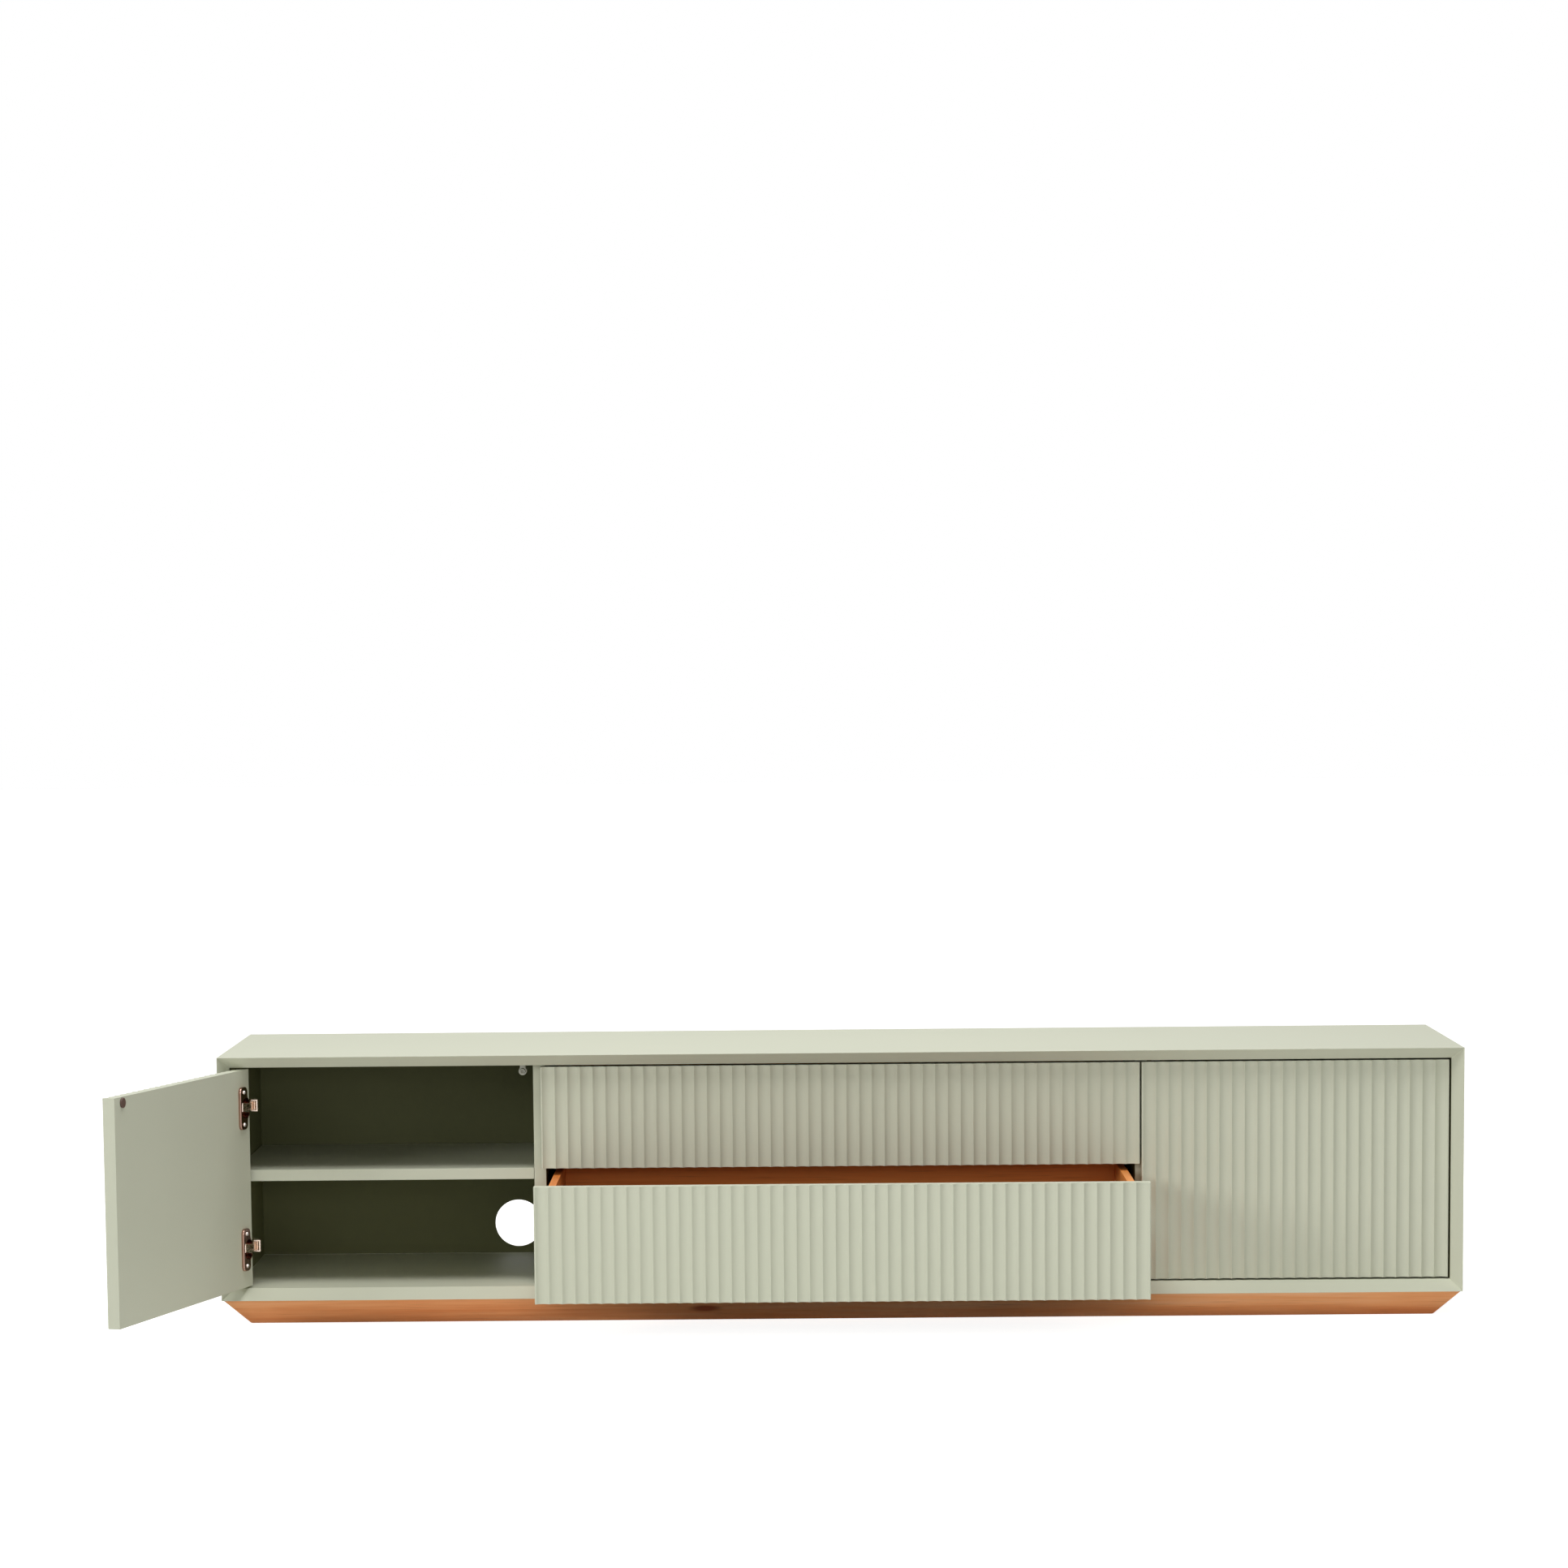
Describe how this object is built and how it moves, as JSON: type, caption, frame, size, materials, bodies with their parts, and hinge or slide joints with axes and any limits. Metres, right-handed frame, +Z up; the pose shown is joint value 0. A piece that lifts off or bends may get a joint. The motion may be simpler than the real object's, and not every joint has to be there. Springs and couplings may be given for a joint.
{
  "type": "media cabinet",
  "caption": "Long low media cabinet with fluted doors on cup hinges, fluted drawers on telescopic slides, open shelves behind the doors and a tapered wooden plinth.",
  "frame": {"origin": "on the floor, under the middle of the carcass", "axes": "+X along the width, +Y from the front to the back, +Z up"},
  "size_m": [2.1165, 0.8873, 0.436],
  "materials": {
    "sage_paint": "satin sage paint",
    "plinth_wood": "reddish-brown stain",
    "drawer_wood": "reddish-brown stain",
    "slide_steel": "zinc plated",
    "hinge_bronze": "dark bronze plating",
    "hinge_copper": "coppery nickel plating",
    "pin_steel": "bright",
    "screw_steel": "nickel plated",
    "strike_brown": "dark brown",
    "latch_grey": "light grey",
    "latch_tip": "grey rubbery tip"
  },
  "bodies": {
    "carcass": {"top_panel": "sage_paint", "bottom_panel": "sage_paint", "left_side_panel": "sage_paint", "right_side_panel": "sage_paint", "left_divider": "sage_paint", "right_divider": "sage_paint", "back_panel": "sage_paint", "left_shelf": "sage_paint", "right_shelf": "sage_paint", "shelf_pins": "pin_steel", "plinth_front": "plinth_wood", "plinth_back": "plinth_wood", "plinth_left": "plinth_wood", "plinth_right": "plinth_wood", "plinth_cross_rails": "plinth_wood", "left_hinge_plates": "hinge_copper", "right_hinge_plates": "hinge_copper", "left_upper_hinge_arm": "hinge_copper", "left_lower_hinge_arm": "hinge_copper", "right_upper_hinge_arm": "hinge_copper", "right_lower_hinge_arm": "hinge_copper", "hinge_arm_pins": "pin_steel", "hinge_plate_screws": "screw_steel", "left_latch_body": "latch_grey", "right_latch_body": "latch_grey", "upper_cabinet_slides": "slide_steel", "lower_cabinet_slides": "slide_steel"},
    "left_hinge_links": {"left_hinge_links": "hinge_copper"},
    "left_door": {"left_door": "sage_paint", "left_upper_hinge_cup": "hinge_bronze", "left_lower_hinge_cup": "hinge_bronze", "left_hinge_cup_pins": "pin_steel", "left_hinge_cup_screws": "screw_steel", "left_strike_disc": "strike_brown"},
    "left_latch_plunger": {"left_latch_plunger": "latch_tip"},
    "right_hinge_links": {"right_hinge_links": "hinge_copper"},
    "right_door": {"right_door": "sage_paint", "right_upper_hinge_cup": "hinge_bronze", "right_lower_hinge_cup": "hinge_bronze", "right_hinge_cup_pins": "pin_steel", "right_hinge_cup_screws": "screw_steel", "right_strike_disc": "strike_brown"},
    "right_latch_plunger": {"right_latch_plunger": "latch_tip"},
    "upper_middle_slides": {"upper_middle_slides": "slide_steel"},
    "upper_drawer": {"upper_drawer_front": "sage_paint", "upper_drawer_left_side": "drawer_wood", "upper_drawer_right_side": "drawer_wood", "upper_drawer_box_front": "drawer_wood", "upper_drawer_box_back": "drawer_wood", "upper_drawer_bottom": "drawer_wood", "upper_drawer_slides": "slide_steel"},
    "lower_middle_slides": {"lower_middle_slides": "slide_steel"},
    "lower_drawer": {"lower_drawer_front": "sage_paint", "lower_drawer_left_side": "drawer_wood", "lower_drawer_right_side": "drawer_wood", "lower_drawer_box_front": "drawer_wood", "lower_drawer_box_back": "drawer_wood", "lower_drawer_bottom": "drawer_wood", "lower_drawer_slides": "slide_steel"}
  },
  "joints": [
    {"name": "left_door_cup_hinge", "type": "hinge", "parent": "left_hinge_links", "child": "left_door", "pos_m": [-0.96386, -0.19559, 0.239], "axis": [0, 0, 1], "range_deg": [0, 120]},
    {"name": "left_link_arm_hinge", "type": "hinge", "parent": "carcass", "child": "left_hinge_links", "pos_m": [-0.949, -0.1644, 0.239], "axis": [0, 0, 1], "range_deg": [-13, 0]},
    {"name": "right_door_cup_hinge", "type": "hinge", "parent": "right_hinge_links", "child": "right_door", "pos_m": [0.9705, -0.19145, 0.239], "axis": [0, 0, 1], "range_deg": [0, 120]},
    {"name": "right_link_arm_hinge", "type": "hinge", "parent": "carcass", "child": "right_hinge_links", "pos_m": [0.949, -0.1644, 0.239], "axis": [0, 0, 1], "range_deg": [-13, 0]},
    {"name": "upper_drawer_slide", "type": "slide", "parent": "carcass", "child": "upper_drawer", "axis": [0, -1, 0], "range_m": [0, 0.35]},
    {"name": "upper_middle_slide", "type": "slide", "parent": "carcass", "child": "upper_middle_slides", "axis": [0, -1, 0], "range_m": [0, 0.175]},
    {"name": "lower_drawer_slide", "type": "slide", "parent": "carcass", "child": "lower_drawer", "axis": [0, -1, 0], "range_m": [-0.229, 0.121]},
    {"name": "lower_middle_slide", "type": "slide", "parent": "carcass", "child": "lower_middle_slides", "axis": [0, -1, 0], "range_m": [-0.1145, 0.0605]},
    {"name": "left_latch_push", "type": "slide", "parent": "carcass", "child": "left_latch_plunger", "axis": [0, 1, 0], "range_m": [0, 0.004], "stiffness_N_per_m": 400},
    {"name": "right_latch_push", "type": "slide", "parent": "carcass", "child": "right_latch_plunger", "axis": [0, 1, 0], "range_m": [0, 0.004], "stiffness_N_per_m": 400}
  ],
  "couplings": [
    {"joint": "left_link_arm_hinge", "follows": "left_door_cup_hinge", "ratio": -0.10833},
    {"joint": "right_link_arm_hinge", "follows": "right_door_cup_hinge", "ratio": -0.10833},
    {"joint": "upper_middle_slide", "follows": "upper_drawer_slide", "ratio": 0.5},
    {"joint": "lower_middle_slide", "follows": "lower_drawer_slide", "ratio": 0.5}
  ]
}
